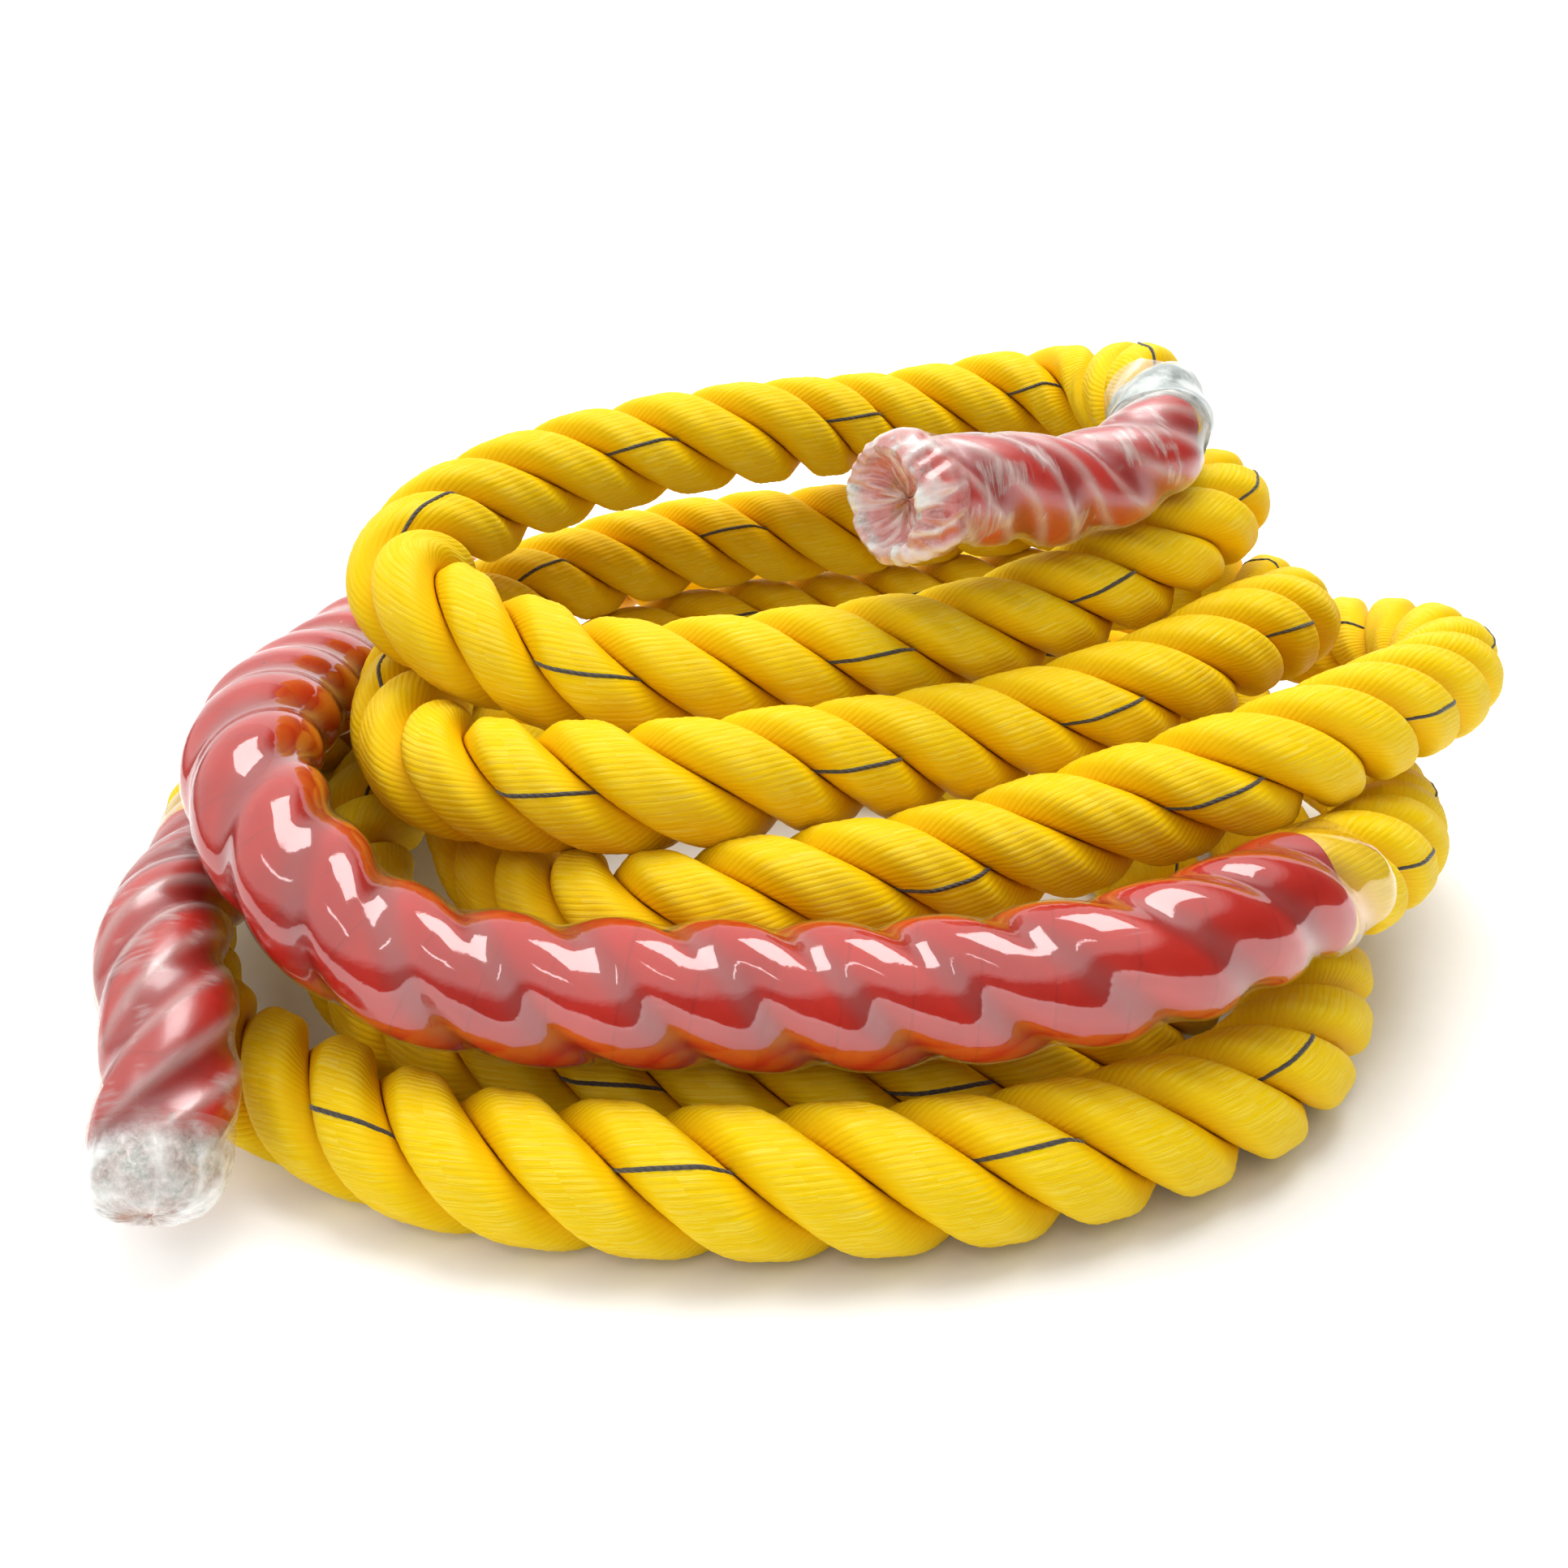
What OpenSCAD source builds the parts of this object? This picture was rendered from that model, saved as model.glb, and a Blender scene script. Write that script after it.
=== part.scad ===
// Heavy three-strand training rope, lying in a loose heap of turns.
// Both ends and the middle are taped in red and covered with clear shrink sleeve.

/* [Rope] */
// Diameter over the three strands
rope_d = 50; // [38:1:60]
// Length of rope in which a strand goes once around
lay_pitch = 112; // [90:1:150]
// Gap between neighbouring strands at their contact faces
strand_gap = 0.2; // [0.1:0.1:0.6]
// Diameter of the dark marker yarn in one strand
tracer_d = 2.6; // [1.5:0.1:4]

/* [Covered stretches] */
// How far tape and sleeve squeeze the rope in at the hand grips, on the radius
squeeze = 4; // [1:0.5:5]
// The same at the middle of the rope
anchor_squeeze = 1; // [0.5:0.5:3]
// Build-up of red tape on the radius
wrap_t = 1.5; // [0.5:0.1:2]
// Wall of the clear shrink sleeve
sleeve_t = 0.6; // [0.4:0.1:1.2]

/* [First hand grip] */
// Red tape from the rope's end
grip_a_wrap_len = 145; // [120:5:250]
// Clear sleeve from the rope's end
grip_a_sleeve_len = 195; // [140:5:300]
// Where the blank label band starts
band_start = 148; // [120:1:260]
// Width of the blank label band
band_w = 30; // [15:1:50]
// Thickness of the blank label band
band_t = 0.4; // [0.2:0.1:1]

/* [Second hand grip] */
// Red tape from the rope's other end
grip_b_wrap_len = 175; // [120:5:250]
// Clear sleeve from the rope's other end
grip_b_sleeve_len = 200; // [140:5:300]

/* [Anchor sleeve] */
// Distance from the first end to the red tape
anchor_start = 4020; // [3800:5:4200]
// Length of the red tape
anchor_len = 740; // [400:5:1000]
// Clear sleeve past the tape at each end
anchor_tail = 28; // [10:1:60]

/* [Ends] */
// How far the folded sleeve stands past the rope's end
fold_len = 14; // [6:1:25]
// Opening left in the fold at the first end
fold_hole_d = 14; // [6:1:24]

/* [Hidden] */
$fn = 48;
rope_r = rope_d / 2;
tight_r = rope_r - squeeze;
wrap_r = tight_r + wrap_t;
sleeve_r = wrap_r + sleeve_t;
anchor_core_r = rope_r - anchor_squeeze;
anchor_wrap_r = anchor_core_r + wrap_t;
anchor_sleeve_r = anchor_wrap_r + sleeve_t;
// turn of the lay at the rope's first end
lay_from = 45;
// rings of a strand for each full turn of the lay, spline steps between knots
lay_rings = 6;
knot_steps = 6;
cover_sides = 10;
// side of the heap from which the marker yarn shows
marker_side = [0, -0.94, 0.34];
cover_step = 22;

// knots of the rope's centre line, from the first end to the second
route = [
  // hand grip at the first end
  [30, -65, 215], [65, -45, 215], [100, -20, 210], [135, 0, 220], [150, 40, 230],
  [150, 85, 235], [145, 130, 230],
  // first and highest turn
  [105, 155, 225], [30, 140, 215], [-40, 100, 215], [-110, 75, 205], [-165, 30, 190],
  [-180, -25, 175], [-160, -60, 165], [-110, -80, 150], [-70, -80, 145], [-10, -60, 145],
  [60, -35, 150], [125, 0, 165], [165, 30, 180], [190, 80, 185], [160, 135, 175],
  // second turn
  [90, 160, 165], [10, 155, 155], [-70, 140, 150], [-140, 100, 140], [-175, 35, 130],
  [-180, -40, 120], [-150, -105, 115], [-70, -130, 120], [-10, -110, 120], [60, -80, 120],
  [130, -50, 130], [185, -5, 140], [220, 45, 135], [215, 105, 130], [170, 155, 125],
  // third turn
  [90, 165, 115], [10, 165, 105], [-70, 140, 100], [-125, 100, 90], [-150, 35, 80],
  [-155, -35, 70], [-125, -105, 65], [-75, -150, 75], [-10, -150, 85], [55, -130, 90],
  [115, -115, 105], [170, -105, 120], [230, -60, 125], [280, 0, 120], [295, 60, 115],
  [280, 125, 100], [245, 190, 90],
  // fourth turn, its front half inside the anchor sleeve
  [170, 235, 100], [80, 240, 105], [-40, 245, 110], [-140, 215, 115], [-200, 150, 115],
  [-220, 80, 120], [-230, 5, 120], [-230, -70, 125], [-220, -125, 120], [-195, -165, 105],
  [-160, -190, 85], [-115, -200, 75], [-55, -205, 75], [20, -205, 75], [100, -200, 85],
  [165, -155, 85], [220, -95, 75], [255, -20, 60], [270, 55, 50], [260, 125, 45],
  // fifth turn, inside the outermost one
  [210, 175, 50], [145, 195, 70], [65, 205, 75], [-30, 200, 75], [-110, 175, 75],
  [-165, 120, 75], [-200, 55, 65], [-210, -15, 60], [-205, -70, 50], [-185, -120, 35],
  [-145, -160, 25], [-90, -180, 25], [-15, -190, 25], [70, -175, 25], [125, -130, 25],
  [145, -65, 25],
  // sixth turn, on the floor all the way round
  [150, 15, 25], [130, 85, 25], [75, 135, 25], [0, 155, 25], [-80, 160, 25],
  [-150, 145, 25], [-215, 110, 25], [-270, 50, 25], [-295, -25, 25], [-275, -95, 25],
  [-250, -145, 25], [-195, -190, 25], [-120, -230, 25], [-20, -240, 25], [75, -225, 25],
  [155, -180, 25], [195, -110, 25], [205, -25, 25],
  // last half turn, climbing to the second hand grip
  [220, 50, 25], [195, 125, 25], [130, 180, 25], [40, 210, 25], [-60, 220, 25],
  [-150, 205, 35], [-215, 155, 60], [-245, 90, 75], [-255, 20, 75], [-260, -55, 75],
  [-250, -115, 75], [-245, -165, 75], [-225, -215, 60], [-220, -250, 35]
];last = len(route) - 1;

// smooth curve through the knots, never lower than a rope lying on the floor
function knot(i) =
  i < 0 ? 2 * route[0] - route[1] : i > last ? 2 * route[last] - route[last - 1] : route[i];
function curve(a, b, c, d, t) =
  b + t * (c - a) / 2 + t * t * (2 * a - 5 * b + 4 * c - d) / 2 + t * t * t * (3 * b - a - 3 * c + d) / 2;
function lifted(p) = [p[0], p[1], max(p[2], rope_r)];
line = [
  for (i = [0 : last - 1], j = [0 : knot_steps - 1])
    lifted(curve(knot(i - 1), knot(i), knot(i + 1), knot(i + 2), j / knot_steps)),
  route[last]
];
steps = [for (i = [1 : len(line) - 1]) norm(line[i] - line[i - 1])];
run = [for (i = 0, s = 0; i < len(line); s = s + (i < len(steps) ? steps[i] : 0), i = i + 1) s];
rope_len = run[len(run) - 1];
axes = [for (k = [0 : 2]) [for (i = [0 : len(line) - 1]) [run[i], line[i][k]]]];

// place, upward and sideways directions of the rope at distance s
function at(s) = [for (k = [0 : 2]) lookup(s, axes[k])];
function unit(v) = v / norm(v);
function heading(s) = unit(at(s + 4) - at(s - 4));
function frame(s) =
  let (t = heading(s), side = unit(cross(t, [0, 0, 1]))) [at(s), cross(side, t), side];
function spot(f, r, a) = f[0] + r * (cos(a) * f[1] + sin(a) * f[2]);

// stretches under tape and sleeve
grip_b_start = rope_len - grip_b_sleeve_len;
anchor_from = anchor_start - anchor_tail;
anchor_to = anchor_start + anchor_len + anchor_tail;
function core_r(s) =
  s < grip_a_sleeve_len || s > grip_b_start ? tight_r
  : s > anchor_from && s < anchor_to ? anchor_core_r : rope_r;

// one strand across the rope: inner edge, contact corner, shoulder, crown, shoulder, corner
corner_r = 0.566;
corner_a = 60 - asin(strand_gap / (2 * corner_r * rope_r));
strand_shape = [
  [0.03, 0], [corner_r, -corner_a], [0.89, -36], [1, 0], [0.89, 36], [corner_r, corner_a]
];
ring_count = floor(rope_len / (lay_pitch / lay_rings));
function ring_s(j) = j == ring_count ? rope_len : j * lay_pitch / lay_rings;

// closed skin over rings of n points, the last column cut along its other diagonal
function skin(rings, n) = concat(
  [[for (i = [0 : n - 1]) i]],
  [for (j = [0 : rings - 2], i = [0 : n - 1], h = [0, 1])
    let (k = (i + 1) % n, a = j * n + i, b = j * n + k, c = a + n, d = b + n)
      i < n - 1 ? (h == 0 ? [a, c, b] : [b, c, d]) : (h == 0 ? [a, c, d] : [a, d, b])],
  [[for (i = [n - 1 : -1 : 0]) (rings - 1) * n + i]]
);

// wall between an outer and an inner surface, n points round each
function wall_skin(rings, n) = [
  for (j = [0 : rings - 2], i = [0 : n - 1], h = [0 : 3])
    let (k = (i + 1) % n, a = 2 * j * n + i, b = 2 * j * n + k, c = a + 2 * n, d = b + 2 * n)
      h == 0 ? [a, c, b] : h == 1 ? [b, c, d]
      : h == 2 ? [a + n, b + n, c + n] : [b + n, d + n, c + n],
  for (i = [0 : n - 1], h = [0 : 3])
    let (k = (i + 1) % n, e = 2 * (rings - 1) * n)
      h == 0 ? [i, k, i + n] : h == 1 ? [k, k + n, i + n]
      : h == 2 ? [e + i, e + i + n, e + k] : [e + k, e + i + n, e + k + n]
];

module strand(number) {
  points = [
    for (j = [0 : ring_count])
      let (s = ring_s(j), f = frame(s), r = core_r(s))
      let (turn = lay_from + 360 * s / lay_pitch + 120 * (number - 1))
        for (p = strand_shape) spot(f, r * p[0], turn + p[1])
  ];
  polyhedron(points, skin(ring_count + 1, len(strand_shape)), convexity = 10);
}

// tube around the rope from one distance to another
module cover(from, to, inner, outer) {
  count = ceil((to - from) / cover_step);
  points = [
    for (j = [0 : count])
      let (f = frame(from + (to - from) * j / count))
        for (r = [outer, inner], i = [0 : cover_sides - 1])
          spot(f, r, 360 * i / cover_sides)
  ];
  polyhedron(points, wall_skin(count + 1, cover_sides), convexity = 10);
}

// puts a shape drawn along +Z at distance s, pointing out of the rope's end
module at_end(s, out) {
  d = heading(s) * out;
  translate(at(s)) rotate([0, acos(d[2]), atan2(d[1], d[0])]) children();
}

// round, closed-in end of a shrink sleeve, with an optional opening at its middle
module fold(hole_r) {
  rim = sleeve_r - fold_len;
  rotate_extrude() {
    difference() {
      union() {
        square([rim, fold_len]);
        intersection() {
          translate([rim, 0]) circle(fold_len);
          square([sleeve_r, fold_len]);
        }
      }
      translate([-1, fold_len / 2]) square([hole_r + 1, fold_len]);
    }
  }
}

module strand_1() { color("gold") strand(1); }
module strand_2() { color("gold") strand(2); }
module strand_3() { color("gold") strand(3); }

// runs in the skin of the first strand and comes out on the marker side once in every turn of the lay
module tracer_yarn() {
  yarn_ring = 0.43;
  yarn_out = 0.53;
  points = [
    for (j = [0 : ring_count])
      let (s = ring_s(j), f = frame(s), turn = lay_from + 360 * s / lay_pitch, r = core_r(s))
        let (shown = atan2(f[2] * marker_side, f[1] * marker_side))
          let (c = spot(f, r * yarn_out, turn) - f[0], q = spot(f, r * yarn_ring, 2 * shown - turn) + c)
            for (i = [0 : 2]) spot([q, f[1], f[2]], tracer_d / 2, 120 * i + turn)
  ];
  color("black") polyhedron(points, skin(ring_count + 1, 3), convexity = 10);
}

module grip_a_wrap() { color("firebrick") cover(0, grip_a_wrap_len, tight_r, wrap_r); }
module grip_a_sleeve() { color("mistyrose") cover(0, grip_a_sleeve_len, wrap_r, sleeve_r); }
module grip_a_band() {
  color("white") cover(band_start, band_start + band_w, sleeve_r, sleeve_r + band_t);
}
module grip_a_fold() { color("mistyrose") at_end(0, -1) fold(fold_hole_d / 2); }

module anchor_wrap() {
  color("firebrick") cover(anchor_start, anchor_start + anchor_len, anchor_core_r, anchor_wrap_r);
}
module anchor_sleeve() { color("mistyrose") cover(anchor_from, anchor_to, anchor_wrap_r, anchor_sleeve_r); }

module grip_b_wrap() {
  color("firebrick") cover(rope_len - grip_b_wrap_len, rope_len, tight_r, wrap_r);
}
module grip_b_sleeve() { color("mistyrose") cover(grip_b_start, rope_len, wrap_r, sleeve_r); }
module grip_b_fold() { color("mistyrose") at_end(rope_len, 1) fold(0); }

strand_1();
strand_2();
strand_3();
tracer_yarn();
grip_a_wrap();
grip_a_band();
grip_a_sleeve();
grip_a_fold();
anchor_wrap();
anchor_sleeve();
grip_b_wrap();
grip_b_sleeve();
grip_b_fold();
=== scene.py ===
"""Heavy three-strand training rope in a loose heap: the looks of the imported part."""
import math

import bpy
import numpy as np
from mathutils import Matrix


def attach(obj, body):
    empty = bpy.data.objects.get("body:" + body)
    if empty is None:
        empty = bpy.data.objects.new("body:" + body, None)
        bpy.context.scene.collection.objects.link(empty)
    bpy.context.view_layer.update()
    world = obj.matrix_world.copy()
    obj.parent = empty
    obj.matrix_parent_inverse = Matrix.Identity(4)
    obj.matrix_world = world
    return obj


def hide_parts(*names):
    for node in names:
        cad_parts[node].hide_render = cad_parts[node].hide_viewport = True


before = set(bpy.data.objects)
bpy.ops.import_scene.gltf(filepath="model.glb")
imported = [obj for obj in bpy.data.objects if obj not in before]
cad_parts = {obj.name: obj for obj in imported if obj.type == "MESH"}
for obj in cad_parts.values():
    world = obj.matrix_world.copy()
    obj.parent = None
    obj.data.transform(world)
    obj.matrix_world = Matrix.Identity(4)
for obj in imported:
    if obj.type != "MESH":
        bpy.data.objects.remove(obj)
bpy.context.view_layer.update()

# ---- sizes in metres, as in part.scad ----
ROPE_R = 0.025
TIGHT_R = 0.0210
WRAP_R = 0.0225
SLEEVE_R = 0.0231
LAY_PITCH = 0.112
LAY_FROM = math.radians(45)
ANCHOR_RISE = 0.0030
GRIP_A_WRAP, GRIP_A_SLEEVE = 0.145, 0.195
BAND_START, BAND_W = 0.148, 0.030
ANCHOR_START, ANCHOR_LEN, ANCHOR_TAIL = 4.020, 0.740, 0.028
GRIP_B_WRAP, GRIP_B_SLEEVE = 0.175, 0.200
TRACER_R = 0.0009
YARNS = 34
THIRD = 2 * math.pi / 3
# how far tape, sleeves and band dip between the strands
TAPE_DIP, GRIP_DIP, ANCHOR_DIP, BAND_DIP = 0.0048, 0.0030, 0.0033, 0.0022
# each skin is drawn this much inside its CAD tube
INSET = 0.0002
# the band stands this much outside the sleeve
BAND_RAISE = 0.0004
# a crease this high shows fully pale, partly as clouded film and partly as painted highlight
FULL_CREASE = 0.0010
# where a sleeve starts or stops, the rope changes over this length
BLEND = 0.012
# the open rims of the sleeves are this much thicker
RIM = 0.0003
# creases in one turn round a grip, twice the number of strands
GRIP_LINES = 6
TAPE_SIDES, FILM_SIDES, FOLD_SIDES, FOLD_ROWS = 96, 144, 240, 76

ROUTE = [
    # hand grip at the first end
    (0.030, -0.065, 0.215), (0.065, -0.045, 0.215), (0.100, -0.020, 0.210),
    (0.135, 0.000, 0.220), (0.150, 0.040, 0.230),
    (0.150, 0.085, 0.235), (0.145, 0.130, 0.230),
    # first and highest turn
    (0.105, 0.155, 0.225), (0.030, 0.140, 0.215), (-0.040, 0.100, 0.215),
    (-0.110, 0.075, 0.205), (-0.165, 0.030, 0.190),
    (-0.180, -0.025, 0.175), (-0.160, -0.060, 0.165), (-0.110, -0.080, 0.150),
    (-0.070, -0.080, 0.145), (-0.010, -0.060, 0.145),
    (0.060, -0.035, 0.150), (0.125, 0.000, 0.165), (0.165, 0.030, 0.180),
    (0.190, 0.080, 0.185), (0.160, 0.135, 0.175),
    # second turn
    (0.090, 0.160, 0.165), (0.010, 0.155, 0.155), (-0.070, 0.140, 0.150),
    (-0.140, 0.100, 0.140), (-0.175, 0.035, 0.130),
    (-0.180, -0.040, 0.120), (-0.150, -0.105, 0.115), (-0.070, -0.130, 0.120),
    (-0.010, -0.110, 0.120), (0.060, -0.080, 0.120),
    (0.130, -0.050, 0.130), (0.185, -0.005, 0.140), (0.220, 0.045, 0.135),
    (0.215, 0.105, 0.130), (0.170, 0.155, 0.125),
    # third turn
    (0.090, 0.165, 0.115), (0.010, 0.165, 0.105), (-0.070, 0.140, 0.100),
    (-0.125, 0.100, 0.090), (-0.150, 0.035, 0.080),
    (-0.155, -0.035, 0.070), (-0.125, -0.105, 0.065), (-0.075, -0.150, 0.075),
    (-0.010, -0.150, 0.085), (0.055, -0.130, 0.090),
    (0.115, -0.115, 0.105), (0.170, -0.105, 0.120), (0.230, -0.060, 0.125),
    (0.280, 0.000, 0.120), (0.295, 0.060, 0.115),
    (0.280, 0.125, 0.100), (0.245, 0.190, 0.090),
    # fourth turn, its front half inside the anchor sleeve
    (0.170, 0.235, 0.100), (0.080, 0.240, 0.105), (-0.040, 0.245, 0.110),
    (-0.140, 0.215, 0.115), (-0.200, 0.150, 0.115),
    (-0.220, 0.080, 0.120), (-0.230, 0.005, 0.120), (-0.230, -0.070, 0.125),
    (-0.220, -0.125, 0.120), (-0.195, -0.165, 0.105),
    (-0.160, -0.190, 0.085), (-0.115, -0.200, 0.075), (-0.055, -0.205, 0.075),
    (0.020, -0.205, 0.075), (0.100, -0.200, 0.085),
    (0.165, -0.155, 0.085), (0.220, -0.095, 0.075), (0.255, -0.020, 0.060),
    (0.270, 0.055, 0.050), (0.260, 0.125, 0.045),
    # fifth turn, inside the outermost one
    (0.210, 0.175, 0.050), (0.145, 0.195, 0.070), (0.065, 0.205, 0.075),
    (-0.030, 0.200, 0.075), (-0.110, 0.175, 0.075),
    (-0.165, 0.120, 0.075), (-0.200, 0.055, 0.065), (-0.210, -0.015, 0.060),
    (-0.205, -0.070, 0.050), (-0.185, -0.120, 0.035),
    (-0.145, -0.160, 0.025), (-0.090, -0.180, 0.025), (-0.015, -0.190, 0.025),
    (0.070, -0.175, 0.025), (0.125, -0.130, 0.025),
    (0.145, -0.065, 0.025),
    # sixth turn, on the floor all the way round
    (0.150, 0.015, 0.025), (0.130, 0.085, 0.025), (0.075, 0.135, 0.025),
    (0.000, 0.155, 0.025), (-0.080, 0.160, 0.025),
    (-0.150, 0.145, 0.025), (-0.215, 0.110, 0.025), (-0.270, 0.050, 0.025),
    (-0.295, -0.025, 0.025), (-0.275, -0.095, 0.025),
    (-0.250, -0.145, 0.025), (-0.195, -0.190, 0.025), (-0.120, -0.230, 0.025),
    (-0.020, -0.240, 0.025), (0.075, -0.225, 0.025),
    (0.155, -0.180, 0.025), (0.195, -0.110, 0.025), (0.205, -0.025, 0.025),
    # last half turn, climbing to the second hand grip
    (0.220, 0.050, 0.025), (0.195, 0.125, 0.025), (0.130, 0.180, 0.025),
    (0.040, 0.210, 0.025), (-0.060, 0.220, 0.025),
    (-0.150, 0.205, 0.035), (-0.215, 0.155, 0.060), (-0.245, 0.090, 0.075),
    (-0.255, 0.020, 0.075), (-0.260, -0.055, 0.075),
    (-0.250, -0.115, 0.075), (-0.245, -0.165, 0.075), (-0.225, -0.215, 0.060),
    (-0.220, -0.250, 0.035),
]

# ---- camera: the photograph's viewing angle ----
cam_data = bpy.data.cameras.new("camera")
cam_data.sensor_width = 36.0
cam_data.lens = 33.54
camera = bpy.data.objects.new("camera", cam_data)
camera.location = (-0.020, -0.635, 0.325)
camera.rotation_euler = (math.radians(68.0), 0.0, 0.0)
bpy.context.scene.collection.objects.link(camera)
bpy.context.scene.camera = camera


# ---- the rope's line ----
def smooth_line(knots, steps):
    k = np.vstack([2 * knots[0] - knots[1], knots, 2 * knots[-1] - knots[-2]])
    t = np.arange(steps)[:, None] / steps
    parts = []
    for a, b, c, d in zip(k[:-3], k[1:-2], k[2:-1], k[3:]):
        parts.append(
            b + t * (c - a) / 2 + t**2 * (2 * a - 5 * b + 4 * c - d) / 2
            + t**3 * (3 * b - a - 3 * c + d) / 2
        )
    line = np.vstack(parts + [knots[-1:]])
    line[:, 2] = np.maximum(line[:, 2], ROPE_R)
    return line


LINE = smooth_line(np.array(ROUTE), 24)
RUN = np.concatenate([[0], np.cumsum(np.linalg.norm(np.diff(LINE, axis=0), axis=1))])
ROPE_LEN = RUN[-1]
GRIP_B_FROM = ROPE_LEN - GRIP_B_SLEEVE
ANCHOR_FROM = ANCHOR_START - ANCHOR_TAIL
ANCHOR_TO = ANCHOR_START + ANCHOR_LEN + ANCHOR_TAIL


def at(s):
    return np.stack([np.interp(s, RUN, LINE[:, k]) for k in range(3)], axis=-1)


def unit(v):
    return v / np.linalg.norm(v, axis=-1, keepdims=True)


def frames(s):
    """Place, heading, upward and sideways directions of the rope at distances s."""
    s = np.asarray(s, float)
    t = unit(at(s + 0.006) - at(s - 0.006))
    # past an end the line goes straight on
    p = at(s) + t * (np.minimum(s, 0) + np.maximum(s - ROPE_LEN, 0))[..., None]
    side = unit(np.cross(t, [0.0, 0.0, 1.0]))
    return p, t, np.cross(side, t), side


def step(s, edge, width):
    x = np.clip((np.asarray(s) - edge) / width + 0.5, 0, 1)
    return x * x * (3 - 2 * x)


def middle(s):
    """1 under the middle sleeve."""
    return step(s, ANCHOR_FROM, BLEND) * (1 - step(s, ANCHOR_TO, BLEND))


def grips(s):
    """1 under the two hand grips."""
    return 1 - step(s, GRIP_A_SLEEVE, BLEND) + step(s, GRIP_B_FROM, BLEND)


def taper(s):
    """How much the second end is drawn in where its sleeve was shrunk shut."""
    return 0.0014 * step(s, ROPE_LEN - 0.010, 0.036)


def wander(s, scale, seed, size):
    """Smooth wandering of about size, without repeats, along distance s."""
    rng = np.random.default_rng(seed)
    knots = rng.uniform(-1, 1, int(ROPE_LEN / scale) + 4)
    x = np.clip(np.asarray(s) / scale, 0, len(knots) - 2)
    i = x.astype(int)
    f = x - i
    f = f * f * (3 - 2 * f)
    return size * (knots[i] * (1 - f) + knots[i + 1] * f)


def lay_angle(s):
    return LAY_FROM + 2 * math.pi * np.asarray(s) / LAY_PITCH + wander(s, 0.09, 5, 0.10)


def tracer_angle(s):
    """Side of the rope at which the marker yarn comes out, from up towards sideways."""
    _, _, up, side = frames(s)
    out = np.array([0.0, -0.94, 0.34])
    drift = wander(s, 0.5, 9, 0.2) - 0.6 * step(s, 7.0, 0.5)
    return np.unwrap(np.arctan2(side @ out, up @ out)) + drift


def yarn_turn(s, turn):
    """How far the yarns have turned in their strand: against the lay, twice as fast."""
    return 2 * (turn - tracer_angle(s))


# ---- mesh building ----
def add_mesh(name, verts, faces, uvs=None, marks=None):
    me = bpy.data.meshes.new(name)
    me.from_pydata(verts.tolist(), [], faces)
    if uvs is not None:
        me.uv_layers.new(name="lay").data.foreach_set("uv", np.asarray(uvs, np.float32).ravel())
    for key, values in (marks or {}).items():
        layer = me.attributes.new(key, "FLOAT", "POINT")
        layer.data.foreach_set("value", np.asarray(values, np.float32).ravel())
    me.polygons.foreach_set("use_smooth", [True] * len(me.polygons))
    me.update()
    obj = bpy.data.objects.new(name, me)
    bpy.context.scene.collection.objects.link(obj)
    return obj


def swept(name, points, u=None, v=None, marks=None, caps=True):
    """Closed tube over rings of points; u runs round and v along for the texture."""
    rings, n, _ = points.shape
    j, i = np.meshgrid(np.arange(rings - 1), np.arange(n), indexing="ij")
    k = (i + 1) % n
    quads = np.stack([j * n + i, j * n + k, (j + 1) * n + k, (j + 1) * n + i], -1)
    faces = quads.reshape(-1, 4).tolist()
    uvs = None
    if u is not None:
        wrap = (i == n - 1).astype(float)
        uu = np.stack([u[j, i], u[j, k] + wrap, u[j + 1, k] + wrap, u[j + 1, i]], -1)
        vv = np.stack([v[j], v[j], v[j + 1], v[j + 1]], -1)
        uvs = np.stack([uu, vv], -1).reshape(-1, 2)
    if caps:
        faces += [list(range(n))[::-1], list(range((rings - 1) * n, rings * n))]
        if uvs is not None:
            uvs = np.vstack([uvs, np.zeros((2 * n, 2))])
    return add_mesh(name, points.reshape(-1, 3), faces, uvs, marks)


def around(s, radius, angle):
    """Points at radius and angle about the rope's line; radius and angle are (rings, n)."""
    p, _, up, side = frames(s)
    return (
        p[:, None] + (radius * np.cos(angle))[..., None] * up[:, None]
        + (radius * np.sin(angle))[..., None] * side[:, None]
    )


def lobe(n):
    """One strand across the rope: out and sideways, flat where it presses on the next."""
    t = np.linspace(0, 2 * math.pi, 1441)
    power = 2 / 2.35
    x = 0.545 + 0.455 * np.sign(np.cos(t)) * np.abs(np.cos(t)) ** power
    y = 0.585 * np.sign(np.sin(t)) * np.abs(np.sin(t)) ** power
    reach = np.maximum(math.sqrt(3) * x - 0.012, 0.0)
    soft = 0.02
    gap = reach - np.abs(y)
    held = reach - (gap + np.sqrt(gap**2 + soft**2)) / 2
    y = np.sign(y) * np.maximum(held, 0)
    run = np.concatenate([[0], np.cumsum(np.hypot(np.diff(x), np.diff(y)))])
    want = np.linspace(0, run[-1], n, endpoint=False)
    return np.interp(want, run, x), np.interp(want, run, y), want / run[-1]


LOBE_X, LOBE_Y, LOBE_U = lobe(44)


def rope_radius(s):
    drawn_in = TIGHT_R - 0.0006 - ROPE_R
    return ROPE_R + grips(s) * drawn_in + middle(s) * (drawn_in + ANCHOR_RISE) - taper(s)


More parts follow.
